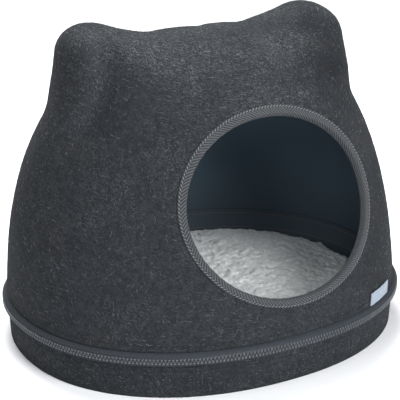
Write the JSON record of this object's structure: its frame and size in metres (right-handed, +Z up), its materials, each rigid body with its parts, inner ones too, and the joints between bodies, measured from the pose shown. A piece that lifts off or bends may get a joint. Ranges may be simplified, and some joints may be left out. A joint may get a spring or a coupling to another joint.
{
  "type": "felt cat cave",
  "caption": "Moulded felt cat cave with rounded ears, a bound oval entrance, a zip around its tray base and a loose cushion inside",
  "frame": {"origin": "on the surface it stands on, under the middle of the tray", "axes": "+Z up; +X to the object's left ear side, its longest side, ear to ear; the entrance faces -Y"},
  "size_m": [0.46, 0.3952, 0.3547],
  "materials": {
    "charcoal_felt": "needled felt with short pale fibres",
    "herringbone_tape": "woven herringbone tape",
    "zip_tape": "finely woven tape",
    "zip_teeth": "satin moulded",
    "slider_metal": "dark satin",
    "pale_fleece": "short curly pile",
    "blue_ribbon": "plain satin ribbon, blank"
  },
  "bodies": {
    "root": {"dome": "charcoal_felt", "base_tray": "charcoal_felt", "entrance_binding": "herringbone_tape", "zip_tape_upper": "zip_tape", "zip_tape_lower": "zip_tape", "zip_chain": "zip_teeth", "zip_slider": "slider_metal", "zip_pull": "slider_metal", "cushion": "pale_fleece", "label_tab": "blue_ribbon"}
  },
  "joints": []
}
